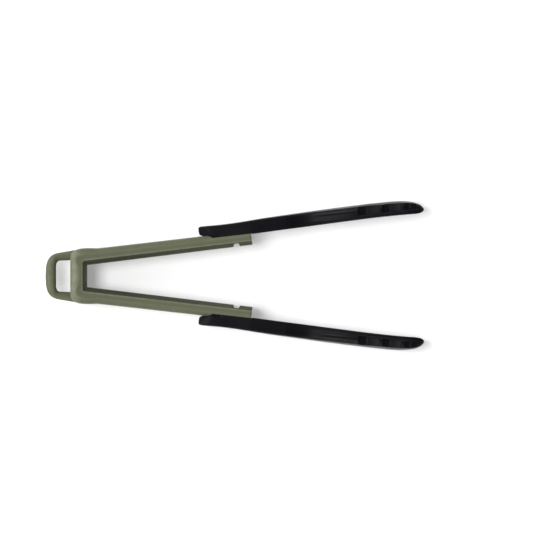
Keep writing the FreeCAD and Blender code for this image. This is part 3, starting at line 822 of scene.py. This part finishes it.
for sideName, side in arms.items():
    piece = dress(makeJaw(sideName + "Jaw", side, jaw), blackJaw)
    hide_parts(sideName + "_jaw")
    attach(piece, sideName + "_arm")
print("jaws made")


# torsion springs round the pins
spring = {
    "wire": 0.6, "coil": 3.1, "turns": 5, "pitch": 1.3, "leg": 13.0,     # wire and coil are radii
    "turnSteps": 40, "legSteps": 14, "round": 12,
}


def makeSpring(name, side, look):
    # a circle carried along a leg, a helix and a second leg; the circle stands across the path
    turn = np.linspace(0, 2 * math.pi * look["turns"], look["turns"] * look["turnSteps"] + 1)
    rise = look["turns"] * look["pitch"] / 2
    legs = np.linspace(1, 0, look["legSteps"])[:-1]
    beside = 0 * legs - look["coil"]
    along = np.concatenate([-look["leg"] * legs, look["coil"] * np.sin(turn), look["leg"] * legs[::-1]])
    across = np.concatenate([beside, -look["coil"] * np.cos(turn), beside])
    climb = -rise + look["pitch"] * turn / (2 * math.pi)
    height = np.concatenate([0 * legs - rise, climb, 0 * legs + rise])
    path = np.stack([*onArm(along, across), middle + height], -1)
    ahead = np.gradient(path, axis=0)
    ahead /= np.linalg.norm(ahead, axis=1, keepdims=True)
    out = np.cross(ahead, [0, 0, 1])
    out /= np.linalg.norm(out, axis=1, keepdims=True)
    up = np.cross(out, ahead)
    angle = np.linspace(0, 2 * math.pi, look["round"] + 1)[None, :-1, None]
    ring = look["wire"] * (np.cos(angle) * out[:, None, :] + np.sin(angle) * up[:, None, :])
    return gridMesh(name, path[:, None, :] + ring, np.zeros(look["round"]), side, sharp=60)


for sideName, side in arms.items():
    piece = dress(makeSpring(sideName + "Spring", side, spring), wireSteel)
    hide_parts(sideName + "_torsion_spring")
    bendOver(piece)
print("springs made")


studio = {
    "floorSize": 24.0, "floorColour": (0.74, 0.74, 0.74), "floorRough": 0.9, "floorShine": 0.1,
    "floorTint": 0.99,        # how much darker its faint clouds are
    "floorClouds": 3.0,
    "floorGlow": 0.27,        # a table of white acrylic lit from below
    "world": 0.30,
    # direction the light comes from, strength and softness in degrees
    "lights": [
        ((-0.38, 0.03, 0.92), 2.35, 26), ((-0.90, 0.32, 0.32), 2.6, 50),
        ((-0.15, -0.72, 0.60), 0.95, 50), ((-0.10, 0.80, 0.5), 0.45, 50),
    ],
    # the camera looks straight down from far off; the turn is in degrees
    "cameraX": 0.0308, "cameraY": 0.0006, "cameraTurn": -0.09, "distance": 8.0, "frameWidth": 0.4213,
    "sensor": 36.0, "clipEnd": 100.0,
}
half = studio["floorSize"] / 2
floorMesh = bpy.data.meshes.new("floor")
floorCorners = [(-half, -half, 0), (half, -half, 0), (half, half, 0), (-half, half, 0)]
floorMesh.from_pydata(floorCorners, [], [(0, 1, 2, 3)])
floor = bpy.data.objects.new("floor", floorMesh)
bpy.context.scene.collection.objects.link(floor)
paper, tree, shader, coords = newMaterial("paper")
clouds = noise(tree, coords, studio["floorClouds"])
darker = tuple(studio["floorTint"] * c for c in studio["floorColour"])
tree.links.new(mixColours(tree, clouds, studio["floorColour"], darker), shader.inputs["Base Color"])
shader.inputs["Roughness"].default_value = studio["floorRough"]
shader.inputs["Specular IOR Level"].default_value = studio["floorShine"]
shader.inputs["Emission Color"].default_value = (1, 1, 1, 1)
shader.inputs["Emission Strength"].default_value = studio["floorGlow"]
floor.data.materials.append(paper)

world = bpy.data.worlds.new("studio")
bpy.context.scene.world = world
world.use_nodes = True
sky = world.node_tree.nodes["Background"]
sky.inputs["Color"].default_value = (1, 1, 1, 1)
sky.inputs["Strength"].default_value = studio["world"]
for number, (source, strength, softness) in enumerate(studio["lights"]):
    light = bpy.data.lights.new("soft" + str(number), "SUN")
    light.energy = strength
    light.angle = math.radians(softness)
    lamp = bpy.data.objects.new(light.name, light)
    lamp.rotation_euler = Vector(source).to_track_quat("Z", "Y").to_euler()
    bpy.context.scene.collection.objects.link(lamp)

camera = bpy.data.cameras.new("camera")
camera.sensor_width = studio["sensor"]
camera.lens = studio["sensor"] * studio["distance"] / studio["frameWidth"]
camera.clip_end = studio["clipEnd"]
viewer = bpy.data.objects.new("camera", camera)
viewer.location = (studio["cameraX"], studio["cameraY"], studio["distance"] + middle / 1000)
viewer.rotation_euler = (0, 0, math.radians(studio["cameraTurn"]))
bpy.context.scene.collection.objects.link(viewer)
bpy.context.scene.camera = viewer
bpy.context.scene.view_settings.view_transform = "Standard"
print("studio made")
